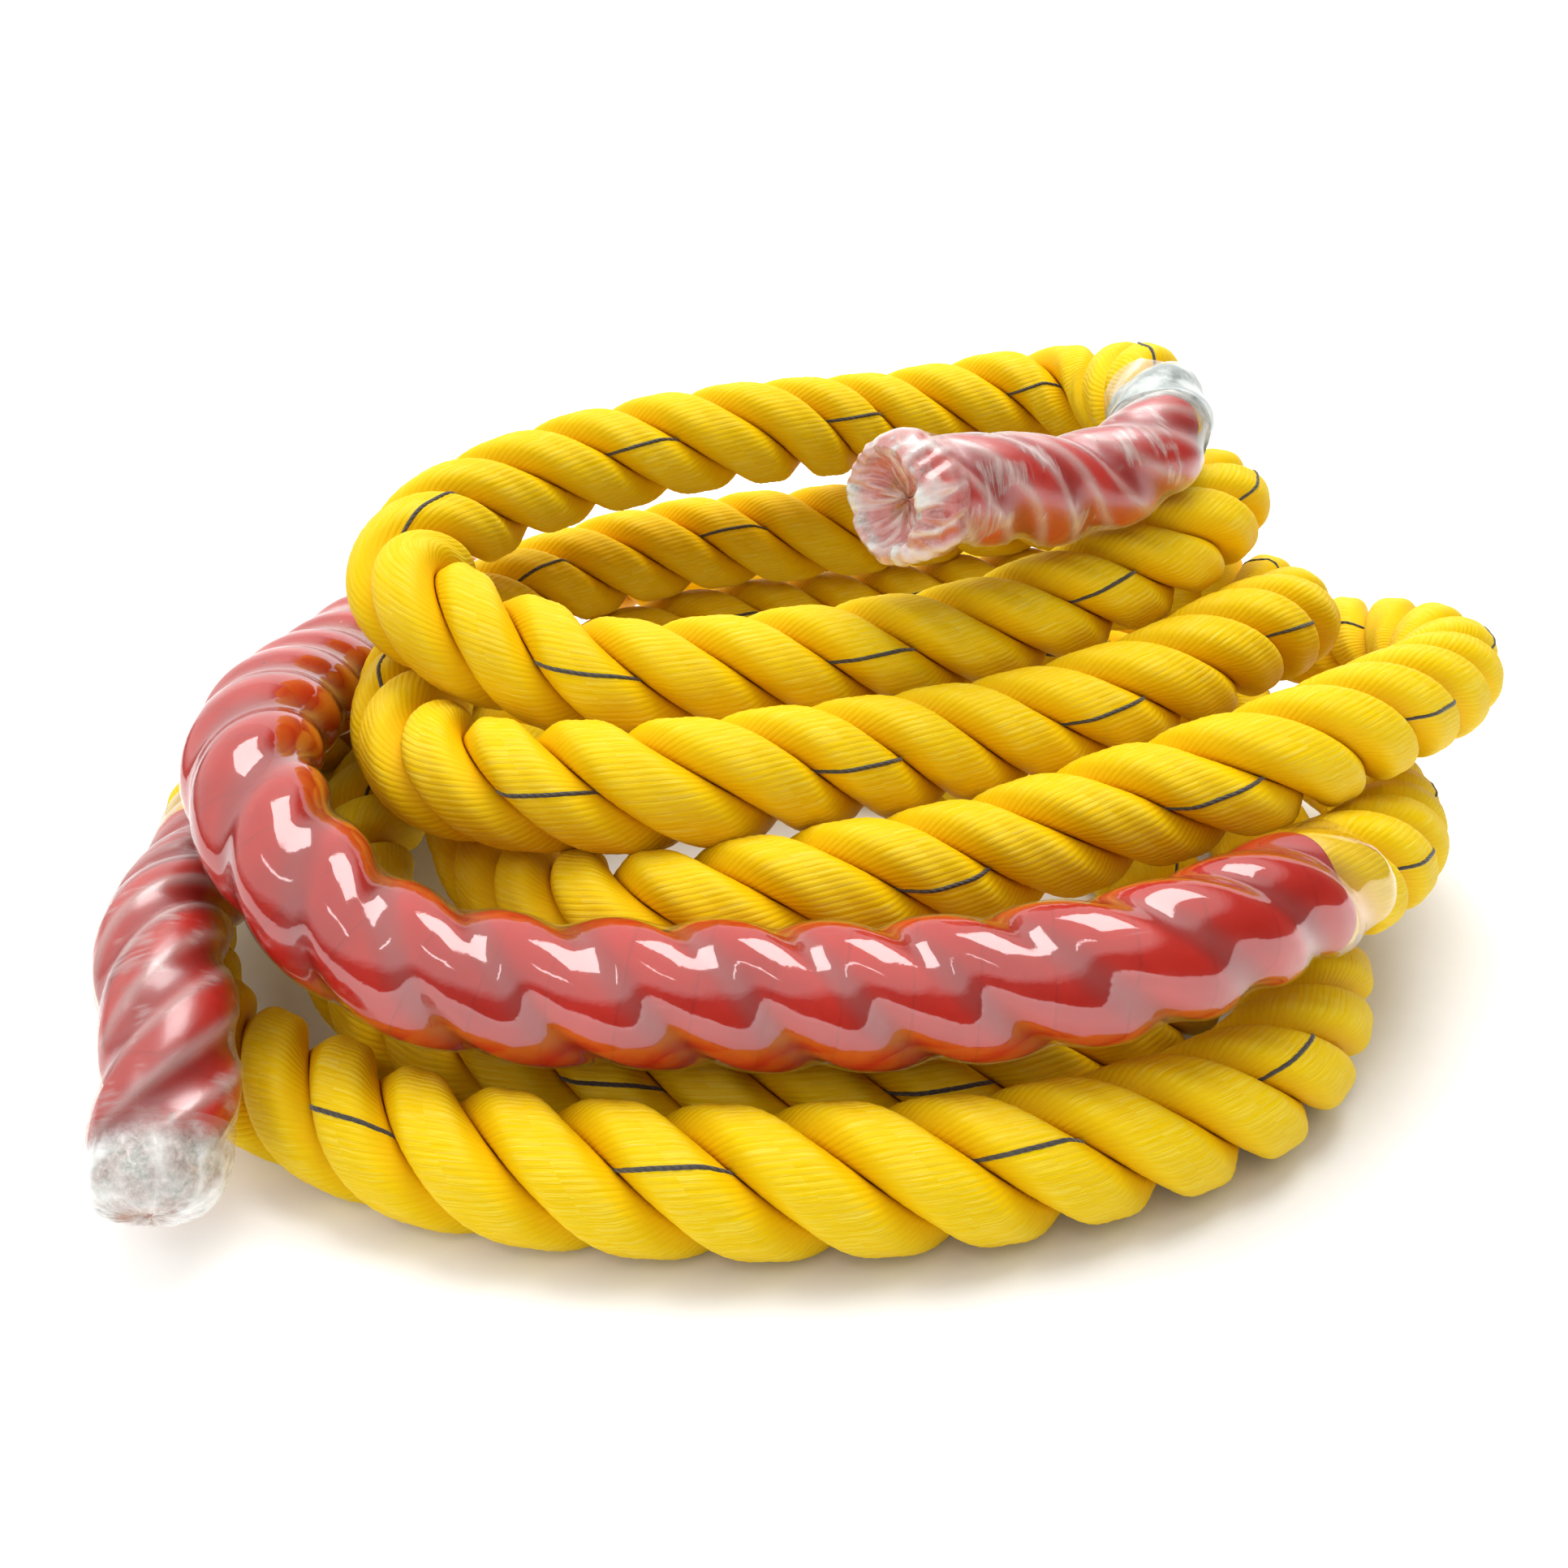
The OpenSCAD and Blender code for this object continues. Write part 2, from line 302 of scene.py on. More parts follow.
def strand(number):
    s = np.linspace(0, ROPE_LEN, 2200)
    turn = lay_angle(s) + THIRD * (number - 1)
    full = rope_radius(s) * (1 + wander(s, 0.07, 20 + number, 0.018))
    x = full[:, None] * LOBE_X
    y = full[:, None] * LOBE_Y
    p, _, up, side = frames(s)
    c, sn = np.cos(turn)[:, None, None], np.sin(turn)[:, None, None]
    out, across = c * up[:, None] + sn * side[:, None], -sn * up[:, None] + c * side[:, None]
    points = p[:, None] + x[..., None] * out + y[..., None] * across
    u = LOBE_U[None] + (yarn_turn(s, turn) / (2 * math.pi))[:, None]
    crown = np.hypot(LOBE_X, LOBE_Y)[None] + 0 * x
    return swept(f"rope_strand_{number}", points, u, s, {"crown": crown})


def tracer():
    """Marker yarn of the first strand: it lies in the skin, so it shows once a turn."""
    s = np.linspace(0, ROPE_LEN, 3600)
    turn = lay_angle(s)
    full = rope_radius(s) * (1 + wander(s, 0.07, 21, 0.018))
    place = (-yarn_turn(s, turn) / (2 * math.pi)) % 1
    u = np.append(LOBE_U, 1)
    x = np.interp(place, u, np.append(LOBE_X, LOBE_X[0])) * full
    y = np.interp(place, u, np.append(LOBE_Y, LOBE_Y[0])) * full
    keep = 1 - 0.0003 / np.maximum(np.hypot(x - 0.5 * full, y), 0.002)
    x, y = 0.5 * full + (x - 0.5 * full) * keep, y * keep
    p, _, up, side = frames(s)
    c, sn = np.cos(turn)[:, None], np.sin(turn)[:, None]
    mid = p + x[:, None] * (c * up + sn * side) + y[:, None] * (-sn * up + c * side)
    along = unit(np.gradient(mid, axis=0))
    a = unit(np.cross(along, mid - p + 1e-6))
    b = np.cross(a, along)
    w = np.linspace(0, 2 * math.pi, 8, endpoint=False)
    points = mid[:, None] + TRACER_R * (
        np.cos(w)[None, :, None] * a[:, None] + np.sin(w)[None, :, None] * b[:, None]
    )
    u = np.tile(w / (2 * math.pi), (len(s), 1))
    return swept("tracer_yarn_round", points, u, s)


def over_strands(s, angle, base, depth):
    """Radius of a skin drawn over the three strands, lower in the valleys between them."""
    d = angle - lay_angle(s)[:, None]
    base = base + (middle(s) * ANCHOR_RISE - taper(s))[:, None]
    return base - depth * (0.5 - 0.5 * np.cos(3 * d)) ** 1.4


def tape(name, start, stop):
    """Tight red tape wound over the strands, rounded off at both ends."""
    s = np.arange(start, stop, 0.0022)
    angle = np.linspace(0, 2 * math.pi, TAPE_SIDES, endpoint=False)[None] + 0 * s[:, None]
    radius = over_strands(s, angle, WRAP_R - INSET, TAPE_DIP)
    end = np.minimum((s - start) / 0.004, (stop - s) / 0.004).clip(0, 1)[:, None]
    radius = radius - 0.0012 * (1 - np.sqrt(1 - (1 - end) ** 2))
    u = angle / (2 * math.pi) - lay_angle(s)[:, None] / (2 * math.pi)
    valley = 0.5 - 0.5 * np.cos(3 * (angle - lay_angle(s)[:, None]))
    return swept(name, around(s, radius, angle), u, s, {"valley": valley})


def ripple(x, y, seed, cells=7):
    """Smooth two-way noise from a few waves in set directions."""
    rng = np.random.default_rng(seed)
    total = 0 * (x + y)
    for _ in range(cells):
        a, b, ph = rng.uniform(0.5, 1.6), rng.uniform(-1, 1), rng.uniform(0, 6.28)
        total = total + np.sin(a * x + b * y + ph) / cells
    return total


def film(name, start, stop, seed, depth, creases, rims, lines=3, at_bend=0.0):
    """Clear shrink sleeve over tape and strands: lobes, creases in the dips, thick rims."""
    s = np.arange(start, stop, 0.0018)
    angle = np.linspace(0, 2 * math.pi, FILM_SIDES, endpoint=False)[None] + 0 * s[:, None]
    d = angle - lay_angle(s)[:, None]
    ss = s[:, None]
    radius = over_strands(s, angle, SLEEVE_R - INSET, depth)
    dip = 0.5 - 0.5 * np.cos(lines * d + 0.5 * ripple(ss * 60, 2 * np.cos(angle), seed))
    patch = (0.55 + 1.1 * ripple(ss * 45, 1.5 * np.sin(angle), seed + 1)).clip(0, 1)
    # extra creases near the start, where the middle sleeve goes round its tight bend
    creases = creases + at_bend * (1 - step(s, start + 0.24, 0.16))[:, None]
    ridge = dip**10 * patch
    radius = radius + creases * ridge
    radius = radius + 0.00016 * ripple(ss * 190, 5 * np.cos(angle), seed + 2, 9)
    radius = radius + 0.00012 * ripple(ss * 90, 6 * np.sin(angle), seed + 3, 9)
    rim = np.exp(-(((ss - start) / 0.0016) ** 2)) * rims[0]
    rim = rim + np.exp(-(((stop - ss) / 0.0016) ** 2)) * rims[1]
    radius = radius + rim
    # pale crease mark: partly clouded film, partly painted highlight along the creases
    crease = (creases / FULL_CREASE * (0.85 * dip**4 * (0.45 + 0.55 * patch))).clip(0, 1)
    u = angle / (2 * math.pi) + 0 * ss
    return swept(name, around(s, radius, angle), u, s, {"crease": crease}, caps=False)


def band(name, start, width):
    """Blank band just outside the sleeve's skin."""
    s = np.linspace(start, start + width, 20)
    angle = np.linspace(0, 2 * math.pi, TAPE_SIDES, endpoint=False)[None] + 0 * s[:, None]
    outer = over_strands(s, angle, SLEEVE_R + BAND_RAISE, BAND_DIP)
    u = angle / (2 * math.pi)
    return swept(name, around(s, outer, angle), u, s, {"crease": 0 * angle})


def folded_end(name, at_start, profile, pleats, seed, rough, lean=0.0):
    """End of a sleeve gathered in over the rope, in uneven radial pleats."""
    prof = np.array(profile)
    run = np.concatenate([[0], np.cumsum(np.hypot(*np.diff(prof, axis=0).T))])
    want = np.linspace(0, run[-1], FOLD_ROWS)
    r = np.interp(want, run, prof[:, 0])[:, None]
    z = np.interp(want, run, prof[:, 1])[:, None]
    angle = np.linspace(0, 2 * math.pi, FOLD_SIDES, endpoint=False)[None]
    inner = (1 - r / SLEEVE_R).clip(0, 1)
    far = np.linspace(0, 1, FOLD_ROWS)[:, None]
    c, sn = np.cos(angle), np.sin(angle)
    drift = 1.6 * ripple(3 * c + 5 * far, 3 * sn, seed, 5)
    pleat = np.abs(np.sin(0.5 * pleats * angle + 2.2 * drift + 1.5 * far)) ** 0.6
    dents = ripple(7 * c + 9 * far, 7 * sn - 6 * far, seed + 1, 9)
    fine = ripple(19 * c, 19 * sn + 26 * far, seed + 2, 9)
    fade = np.clip(far / 0.12, 0, 1) * (1 - 0.6 * far**3)
    move = rough * fade * (1.1 * (pleat - 0.6) * (0.2 + inner) + 1.7 * dents + 0.8 * fine)
    slope = np.gradient(z, axis=0), np.gradient(r, axis=0)
    size = np.hypot(*slope) + 1e-9
    r2 = np.maximum(r + move * slope[0] / size, 0.0002)
    z2 = z - move * slope[1] / size + lean * r * sn * fade
    s0 = np.array([0.0 if at_start else ROPE_LEN])
    p, t, up, side = (v[0] for v in frames(s0))
    if at_start:
        t, side = -t, -side
    points = (
        p + z2[..., None] * t + (r2 * np.cos(angle))[..., None] * up
        + (r2 * np.sin(angle))[..., None] * side
    )
    crease = ((1 - pleat) * 1.1 + 1.1 * dents + 0.7 * fine - 0.1).clip(0, 1) * fade
    u = angle / (2 * math.pi) + 0 * r
    marks = {"crease": crease, "inner": inner + 0 * angle, "far": far + 0 * angle}
    return swept(name, points, u, want, marks)


# ---- materials ----
class Nodes:
    """Short way to build one material's node tree."""

    def __init__(self, name):
        self.mat = bpy.data.materials.new(name)
        self.mat.use_nodes = True
        self.tree = self.mat.node_tree
        self.tree.nodes.clear()
        self.out = self.tree.nodes.new("ShaderNodeOutputMaterial")

    def add(self, kind, **inputs):
        node = self.tree.nodes.new("ShaderNode" + kind)
        for key, value in inputs.items():
            by_number = key[0] == "i" and key[1:].isdigit()
            self.put(node.inputs[int(key[1:]) if by_number else key], value)
        return node

    def put(self, sock, value):
        if isinstance(value, bpy.types.NodeSocket):
            self.tree.links.new(value, sock)
        else:
            sock.default_value = value

    def math(self, op, *values, clamp=False):
        node = self.tree.nodes.new("ShaderNodeMath")
        node.operation = op
        node.use_clamp = clamp
        for i, value in enumerate(values):
            self.put(node.inputs[i], value)
        return node.outputs[0]

    def mix(self, fac, a, b):
        node = self.tree.nodes.new("ShaderNodeMix")
        node.data_type = "RGBA"
        self.put(node.inputs[0], fac)
        self.put(node.inputs[6], a)
        self.put(node.inputs[7], b)
        return node.outputs[2]

    def ramp(self, fac, *stops):
        node = self.tree.nodes.new("ShaderNodeValToRGB")
        self.put(node.inputs[0], fac)
        el = node.color_ramp.elements
        while len(el) < len(stops):
            el.new(0.5)
        for e, (pos, value) in zip(el, stops):
            e.position = pos
            e.color = value if isinstance(value, tuple) else (value, value, value, 1)
        return node.outputs[0]

    def noise(self, vector, scale, detail=3.0, rough=0.55):
        node = self.add("TexNoise", Scale=scale, Detail=detail, Roughness=rough)
        self.put(node.inputs["Vector"], vector)
        return node.outputs[0]

    def mark(self, name):
        node = self.tree.nodes.new("ShaderNodeAttribute")
        node.attribute_name = name
        return node.outputs["Fac"]

    def uv(self):
        node = self.tree.nodes.new("ShaderNodeUVMap")
        node.uv_map = "lay"
        sep = self.add("SeparateXYZ", Vector=node.outputs[0])
        return sep.outputs[0], sep.outputs[1]

    def vec(self, x, y, z=0.0):
        return self.add("CombineXYZ", X=x, Y=y, Z=z).outputs[0]

    def place(self):
        return self.tree.nodes.new("ShaderNodeTexCoord").outputs["Object"]

    def bump(self, height, strength, distance, normal=None):
        node = self.add("Bump", Strength=strength, Distance=distance, Height=height)
        if normal is not None:
            self.put(node.inputs["Normal"], normal)
        return node.outputs[0]

    def finish(self, shader):
        self.tree.links.new(shader, self.out.inputs[0])
        return self.mat


def rope_material(name, base, pale, dark_tone_and_shade):
    """Glossy synthetic fibre: yarns laid along the strand, fine streaks, painted highlights on the crowns,
    painted shade between the yarns and in the valleys.
    """
    m = Nodes(name)
    u, v = m.uv()
    yarn = m.math("MULTIPLY", u, float(YARNS))
    cell = m.math("FLOOR", yarn)
    inside = m.math("FRACT", yarn)
    hump = m.math("SINE", m.math("MULTIPLY", inside, math.pi))
    shade = m.add("TexWhiteNoise").outputs[0]
    m.tree.nodes[-1].noise_dimensions = "1D"
    m.put(m.tree.nodes[-1].inputs["W"], cell)
    # streaks of single fibres, long beside their width
    fine = m.noise(m.vec(m.math("MULTIPLY", u, 260.0), m.math("MULTIPLY", v, 55.0)), 1.0, 3.0, 0.6)
    long = m.noise(m.vec(m.math("MULTIPLY", u, 60.0), m.math("MULTIPLY", v, 22.0)), 1.0, 2.0)
    patch = m.noise(m.place(), 18.0, 3.0)
    crown = m.mark("crown")
    # painted highlight: the pale fibre streaks are laid only on the strand crowns
    top = m.ramp(crown, (0.90, 0.15), (0.985, 1.0))
    colour = m.mix(m.math("MULTIPLY", m.ramp(fine, (0.50, 0.0), (0.70, 0.95)), top), base, pale)
    colour = m.mix(m.math("MULTIPLY", m.ramp(long, (0.52, 0.0), (0.74, 0.50)), top), colour, pale)
    colour = m.mix(m.math("MULTIPLY", shade, 0.22), colour, dark_tone_and_shade)
    # painted shade: darker in the grooves between neighbouring yarns
    colour = m.mix(m.ramp(hump, (0.0, 0.34), (0.45, 0.0)), colour, dark_tone_and_shade)
    colour = m.mix(m.ramp(patch, (0.55, 0.0), (0.85, 0.30)), colour, dark_tone_and_shade)
    # painted shade: darker down the strand sides into the valleys between strands, with a darker colour in
    # the deepest part
    colour = m.mix(m.ramp(crown, (0.66, 1.0), (0.82, 0.45), (0.94, 0.0)), colour, dark_tone_and_shade)
    colour = m.mix(m.ramp(crown, (0.52, 1.0), (0.70, 0.0)), colour, (0.62, 0.27, 0.001, 1))
    scuff = m.ramp(m.noise(m.place(), 42.0, 6.0, 0.7), (0.66, 0.0), (0.80, 0.22))
    colour = m.mix(scuff, colour, (0.42, 0.36, 0.16, 1))
    height = m.math("ADD", m.math("MULTIPLY", hump, 0.7), m.math("MULTIPLY", fine, 0.55))
    bump = m.bump(height, 0.42, 0.0007)
    bump = m.bump(m.noise(m.place(), 900.0, 2.0), 0.12, 0.0003, bump)
    shader = m.add("BsdfPrincipled", Roughness=0.42)
    m.put(shader.inputs["Base Color"], colour)
    m.put(shader.inputs["Roughness"], m.ramp(fine, (0.3, 0.42), (0.8, 0.60)))
    m.put(shader.inputs["Normal"], bump)
    shader.inputs["Specular IOR Level"].default_value = 0.08
    return m.finish(shader.outputs[0])


def tracer_material():
    m = Nodes("tracer_dark_yarn")
    u, v = m.uv()
    ply = m.math("SINE", m.math("ADD", m.math("MULTIPLY", u, 25.1), m.math("MULTIPLY", v, 2400.0)))
    fine = m.noise(m.place(), 700.0, 3.0)
    colour = m.mix(fine, (0.012, 0.011, 0.010, 1), (0.09, 0.075, 0.05, 1))
    shader = m.add("BsdfPrincipled", Roughness=0.62)
    m.put(shader.inputs["Base Color"], colour)
    m.put(shader.inputs["Normal"], m.bump(m.math("ADD", ply, fine), 0.5, 0.0003))
    shader.inputs["Sheen Weight"].default_value = 0.3
    return m.finish(shader.outputs[0])


def tape_material():
    """Red tape with faint turns, small creases and painted shade in the dips between the strands."""
    m = Nodes("red_tape")
    u, v = m.uv()
    turns = m.math("FRACT", m.math("ADD", m.math("MULTIPLY", v, 52.0), u))
    edge = m.ramp(turns, (0.0, 1.0), (0.05, 0.0))
    fibre = m.noise(m.vec(m.math("MULTIPLY", u, 30.0), m.math("MULTIPLY", v, 420.0)), 1.0, 4.0)
    cloud = m.noise(m.place(), 34.0, 4.0)
    valley = m.mark("valley")
    colour = m.mix(m.ramp(cloud, (0.3, 0.0), (0.75, 1.0)), (0.45, 0.012, 0.004, 1), (0.63, 0.022, 0.008, 1))
    colour = m.mix(m.math("MULTIPLY", edge, 0.35), colour, (0.20, 0.006, 0.005, 1))
    # painted shade: darker in the dips between the strands
    colour = m.mix(m.ramp(valley, (0.55, 0.0), (1.0, 0.55)), colour, (0.24, 0.006, 0.003, 1))
    colour = m.mix(m.ramp(fibre, (0.6, 0.0), (0.9, 0.20)), colour, (0.60, 0.06, 0.05, 1))
    height = m.math("ADD", m.math("MULTIPLY", edge, -0.6), m.math("MULTIPLY", fibre, 0.35))
    shader = m.add("BsdfPrincipled", Roughness=0.38)
    m.put(shader.inputs["Base Color"], colour)
    m.put(shader.inputs["Normal"], m.bump(height, 0.4, 0.0005))
    shader.inputs["Specular IOR Level"].default_value = 0.12
    return m.finish(shader.outputs[0])


def film_material(name, milk, milk_colour, gloss_rough, streaks, gleam_edge):
    """Clear shrink sleeve: sees through, gleams, and clouds where it creases; the pale creases are partly a
    painted highlight.
    """
    m = Nodes(name)
    crease = m.mark("crease")
    cloud = m.noise(m.place(), 26.0, 4.0)
    speck = m.noise(m.place(), 260.0, 3.0, 0.6)
    u, v = m.uv()
    scratch = m.noise(m.vec(m.math("MULTIPLY", u, 90.0), m.math("MULTIPLY", v, 38.0)), 1.0, 3.0)
    haze = m.math("ADD", m.math("MULTIPLY", m.ramp(cloud, (0.35, 0.0), (0.7, 1.0)), milk * 0.8), milk)
    # creases turn milky: partly clouded film, partly painted highlight
    haze = m.math("ADD", haze, m.math("MULTIPLY", crease, 0.55))
    haze = m.math("ADD", haze, m.ramp(scratch, (0.68, 0.0), (0.84, 0.14)), clamp=True)
    if streaks:
        round_it = m.noise(m.vec(m.math("MULTIPLY", u, 7.0), m.math("MULTIPLY", v, 420.0)), 1.0, 4.0, 0.6)
        here = m.ramp(m.noise(m.place(), 48.0, 2.0), (0.40, 0.3), (0.62, 1.2))
        round_it = m.math("MULTIPLY", round_it, here)
        haze = m.math("ADD", haze, m.ramp(round_it, (0.44, 0.0), (0.72, streaks)), clamp=True)
    wave = m.math("ADD", m.math("MULTIPLY", cloud, 1.0), m.math("MULTIPLY", speck, 0.16))
    bump = m.bump(wave, 0.35, 0.0012)
    clear = m.add("BsdfTransparent")
    clear.inputs[0].default_value = (0.97, 0.95, 0.94, 1)
    body = m.add("BsdfPrincipled", Roughness=0.22, Normal=bump)
    body.inputs["Base Color"].default_value = milk_colour
    gloss = m.add("BsdfAnisotropic", Roughness=gloss_rough, Normal=bump)
    gloss.inputs[0].default_value = (1, 1, 1, 1)
    facing = m.add("LayerWeight", Blend=0.5, Normal=bump).outputs["Facing"]
    gleam = m.math("ADD", m.math("MULTIPLY", m.math("POWER", facing, 4.0), gleam_edge), 0.10)
    mix1 = m.add("MixShader", i0=haze, i1=clear.outputs[0], i2=body.outputs[0])
    mix2 = m.add("MixShader", i0=gleam, i1=mix1.outputs[0], i2=gloss.outputs[0])
    return m.finish(mix2.outputs[0])


def fold_material(name, frost, blush, rim, patches, glint_strength):
    """Gathered sleeve end: frosted where the film is thick, with the tape showing through; painted shade in
    the hollow middle, painted highlights on the creases and in white patches.
    """
    m = Nodes(name)
    crease, inner, far = m.mark("crease"), m.mark("inner"), m.mark("far")
    cloud = m.noise(m.place(), 75.0, 5.0, 0.7)
    fine = m.noise(m.place(), 420.0, 4.0, 0.7)
    grey = m.mix(m.ramp(fine, (0.35, 0.0), (0.65, 1.0)), (0.34, 0.36, 0.32, 1), (0.70, 0.73, 0.69, 1))
    patchy = m.math("ADD", cloud, m.math("MULTIPLY", fine, 0.35))
    through = m.ramp(patchy, (frost, 0.0), (frost + 0.10, 1.0))
    # thick and pale between these parts of the way in, thin and red outside them
    a, b, c, d = rim
    wavy = m.math("ADD", far, m.math("MULTIPLY", m.math("SUBTRACT", cloud, 0.5), 0.20))
    thin = m.ramp(wavy, (a, 0.92), (b, 0.06), (c, 0.06), (d, 0.85))
    colour = m.mix(m.math("MAXIMUM", m.math("MULTIPLY", through, patches), thin), grey, blush)
    # painted shade: dark brown in the hollow middle of the gathered end
    deep_in = m.ramp(inner, (0.45, 0.0), (0.65, 1.0))
    pit = m.math("MULTIPLY", deep_in, m.ramp(cloud, (0.42, 1.0), (0.60, 0.1)))
    colour = m.mix(pit, colour, (0.36, 0.13, 0.05, 1))
    # creases whiten: partly frosted film, partly painted highlight
    colour = m.mix(m.math("MULTIPLY", crease, 0.75), colour, (0.93, 0.93, 0.88, 1))
    # painted highlight: white patches stand in for the glint of the key lamp
    painted_glint = m.ramp(m.noise(m.place(), 34.0, 3.0), (0.50, 0.0), (0.60, glint_strength))
    colour = m.mix(painted_glint, colour, (0.95, 0.96, 0.94, 1))
    shader = m.add("BsdfPrincipled", Roughness=0.2)
    m.put(shader.inputs["Base Color"], colour)
    m.put(shader.inputs["Roughness"], m.ramp(fine, (0.3, 0.10), (0.8, 0.38)))
    height = m.math("ADD", cloud, m.math("MULTIPLY", fine, 0.22))
    m.put(shader.inputs["Normal"], m.bump(height, 0.6, 0.0015))
    shader.inputs["Coat Weight"].default_value = 0.8
    shader.inputs["Coat Roughness"].default_value = 0.06
    # the collar is thin film, so the tape under it shows
    film = m.add("BsdfTransparent")
    film.inputs[0].default_value = (0.97, 0.95, 0.94, 1)
    edge = m.math("ADD", far, m.math("MULTIPLY", m.math("SUBTRACT", cloud, 0.5), 0.35))
    solid = m.ramp(edge, (0.06, 0.10), (0.26, 1.0))
    mix = m.add("MixShader", i0=solid, i1=film.outputs[0], i2=shader.outputs[0])
    return m.finish(mix.outputs[0])


def band_material():
    """Blank pale band with faint mottling, no print."""
    m = Nodes("label_band_blank")
    cloud = m.noise(m.place(), 90.0, 4.0)
    fine = m.noise(m.place(), 600.0, 2.0)
    colour = m.mix(m.ramp(cloud, (0.38, 0.0), (0.56, 1.0)), (0.26, 0.30, 0.28, 1), (0.60, 0.64, 0.61, 1))
    shader = m.add("BsdfPrincipled", Roughness=0.3)
    m.put(shader.inputs["Base Color"], colour)
    m.put(shader.inputs["Normal"], m.bump(m.math("ADD", cloud, m.math("MULTIPLY", fine, 0.3)), 0.3, 0.0006))
    shader.inputs["Coat Weight"].default_value = 0.4
    shader.inputs["Coat Roughness"].default_value = 0.15
    return m.finish(shader.outputs[0])


# ---- the rope, made first ----
YELLOW = rope_material(
    "rope_fibre_yellow", (0.90, 0.615, 0.0003, 1), (0.97, 0.79, 0.11, 1), (0.86, 0.50, 0.0003, 1),
)
strands = [strand(n) for n in (1, 2, 3)]
yarn = tracer()
for obj in strands:
    obj.data.materials.append(YELLOW)
yarn.data.materials.append(tracer_material())

# ---- what is on it ----
RED = tape_material()
tapes = {
    "grip_a_wrap": tape("grip_a_tape", 0.0, GRIP_A_WRAP),
    "anchor_wrap": tape("anchor_tape", ANCHOR_START, ANCHOR_START + ANCHOR_LEN),
    "grip_b_wrap": tape("grip_b_tape", ROPE_LEN - GRIP_B_WRAP, ROPE_LEN),
}
for obj in tapes.values():
    obj.data.materials.append(RED)

CREASED = "shrink_sleeve_film_creased"
skins = {
    "grip_a_sleeve": film_material(CREASED, 0.01, (0.76, 0.72, 0.66, 1), 0.36, 0.38, 0.68),
    "anchor_sleeve": film_material("shrink_sleeve_film", 0.004, (0.93, 0.88, 0.84, 1), 0.07, 0.0, 0.68),
    # painted shade: grip B's film is a darker copy of grip A's, with darker milk and less gleam
    "grip_b_sleeve": film_material(CREASED + "_shaded", 0.01, (0.62, 0.56, 0.52, 1), 0.30, 0.30, 0.42),
}
films = {
    "grip_a_sleeve": film(
        "grip_a_film", 0.0, GRIP_A_SLEEVE, 11, GRIP_DIP, FULL_CREASE, (0, RIM), GRIP_LINES,
    ),
    "anchor_sleeve": film(
        "anchor_film", ANCHOR_FROM, ANCHOR_TO, 31, ANCHOR_DIP, 0.0001, (RIM, RIM), at_bend=0.0007,
    ),
    "grip_b_sleeve": film(
        "grip_b_film", GRIP_B_FROM, ROPE_LEN, 51, GRIP_DIP, FULL_CREASE, (RIM, 0), GRIP_LINES,
    ),
}
for key, obj in films.items():
    obj.data.materials.append(skins[key])

label = band("grip_a_band_blank", BAND_START, BAND_W)
label.data.materials.append(band_material())

R = SLEEVE_R
fold_a = folded_end(
    "grip_a_folded_end", True,
    [(R + 0.0003, -0.012), (R + 0.0018, -0.007), (R + 0.0028, 0.000), (R + 0.0024, 0.006),
     (R + 0.0008, 0.0112), (R - 0.002, 0.0138), (R - 0.0045, 0.0130), (R - 0.0065, 0.0095),
     (0.0125, 0.0055), (0.0070, 0.0035), (0.0003, 0.0020)],
    7, 3, 0.0017, 0.12,
)
fold_a.data.materials.append(fold_material(
    "sleeve_fold_gathered", 0.56, (0.58, 0.11, 0.09, 1), (0.34, 0.42, 0.56, 0.64), 0.7, 0.2,
))
fold_b = folded_end(
    "grip_b_folded_end", False,
    [(R - 0.0002, -0.014), (R - 0.0004, -0.008), (R - 0.0008, -0.002), (R - 0.0018, 0.003),
     (R - 0.0034, 0.007), (R - 0.0064, 0.0108), (R - 0.011, 0.0132), (R - 0.016, 0.0138),
     (0.004, 0.0132), (0.0003, 0.0130)],
    7, 8, 0.0007,
)
fold_b.data.materials.append(fold_material(
    "sleeve_fold_frosted", 0.60, (0.56, 0.14, 0.12, 1), (0.02, 0.16, 0.95, 1.0), 0.22, 0.9,
))

# ---- floor, backdrop, light ----
def backdrop():
    half, radius, back, top = 4.0, 0.9, 2.4, 3.0
    quarter = np.linspace(0, math.pi / 2, 14)
    arc = [(back + radius * math.sin(a), radius - radius * math.cos(a)) for a in quarter]
    line = [(-5.0, 0.0)] + arc + [(back + radius, top)]
    verts = np.array([(x, y, z) for y, z in line for x in (-half, half)])
    faces = [[2 * i, 2 * i + 1, 2 * i + 3, 2 * i + 2] for i in range(len(line) - 1)]
    obj = add_mesh("floor", verts, faces)
    m = Nodes("floor_pale")
    shader = m.add("BsdfPrincipled", Roughness=0.75)
    fine = m.noise(m.place(), 60.0, 2.0)
    m.put(shader.inputs["Base Color"], m.mix(fine, (0.80, 0.80, 0.80, 1), (0.84, 0.84, 0.84, 1)))
    # the paper glows a little away from the rope, as on a light table
    reach = m.add("VectorMath", i0=m.place())
    reach.operation = "LENGTH"
    glow = m.ramp(reach.outputs["Value"], (0.25, 0.03), (0.36, 0.40), (1.0, 0.6))
    m.put(shader.inputs["Emission Strength"], glow)
    shader.inputs["Emission Color"].default_value = (1, 1, 1, 1)
    obj.data.materials.append(m.finish(shader.outputs[0]))


